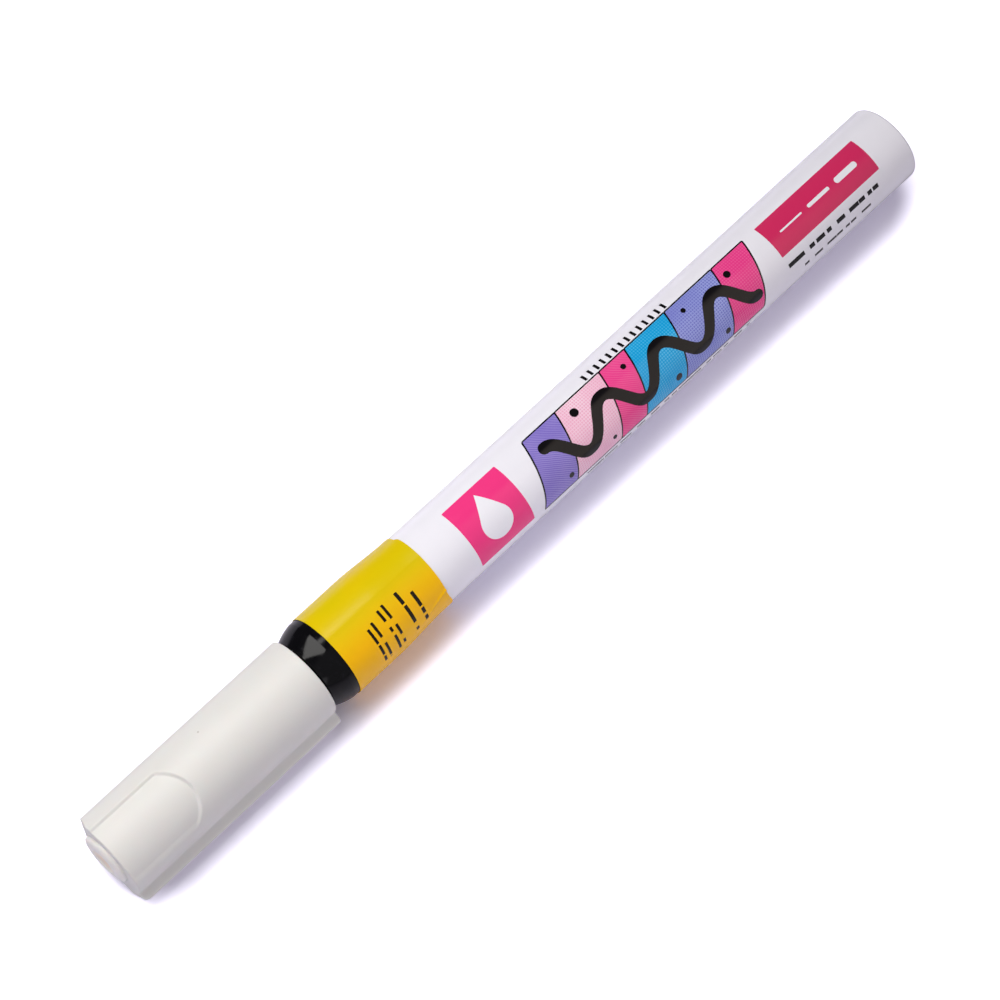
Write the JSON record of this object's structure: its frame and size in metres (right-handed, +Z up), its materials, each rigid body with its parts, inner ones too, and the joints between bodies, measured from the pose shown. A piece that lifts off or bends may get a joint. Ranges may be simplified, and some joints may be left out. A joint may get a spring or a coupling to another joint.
{
  "type": "paint marker",
  "caption": "Capped valve-action paint marker: slim can barrel, sliding sprung nib, loose mixing ball and a pull-off cap with a side rib and finger recesses.",
  "frame": {"origin": "on the marker's axis, in the middle of the bare stretch of barrel", "axes": "+X along the axis from the cap to the tail, +Z up as the marker lies on a table with its rib beside it"},
  "size_m": [0.1449, 0.0129, 0.0126],
  "materials": {
    "cap_plastic": "satin moulded white",
    "inner_cap_plastic": "smooth moulded white",
    "black_plastic": "gloss black",
    "seal_film": "yellow film",
    "barrel_enamel": "gloss white enamel with print",
    "nib_fibre": "bonded fibre",
    "valve_plastic": "natural moulded",
    "gasket_rubber": "matte",
    "spring_steel": "drawn wire",
    "ball_steel": "polished"
  },
  "bodies": {
    "marker": {"barrel": "barrel_enamel", "seal_band": "seal_film", "front_section": "black_plastic", "valve_seat": "valve_plastic", "valve_cage": "valve_plastic", "valve_spring": "spring_steel"},
    "cap": {"cap_shell": "cap_plastic", "inner_cap": "inner_cap_plastic"},
    "nib_unit": {"nib": "nib_fibre", "valve_stem": "valve_plastic", "valve_gasket": "gasket_rubber"},
    "ball": {"mixing_ball": "ball_steel"}
  },
  "joints": [
    {"name": "cap_pull", "type": "slide", "parent": "marker", "child": "cap", "axis": [-1, 0, 0], "range_m": [0, 0.04]},
    {"name": "nib_press", "type": "slide", "parent": "marker", "child": "nib_unit", "axis": [1, 0, 0], "range_m": [0, 0.0015], "stiffness_N_per_m": 800, "springref_m": -0.002, "deforming": ["valve_spring"]},
    {"name": "ball_roll", "type": "slide", "parent": "marker", "child": "ball", "axis": [1, 0, 0], "range_m": [-0.037, 0.041]}
  ]
}
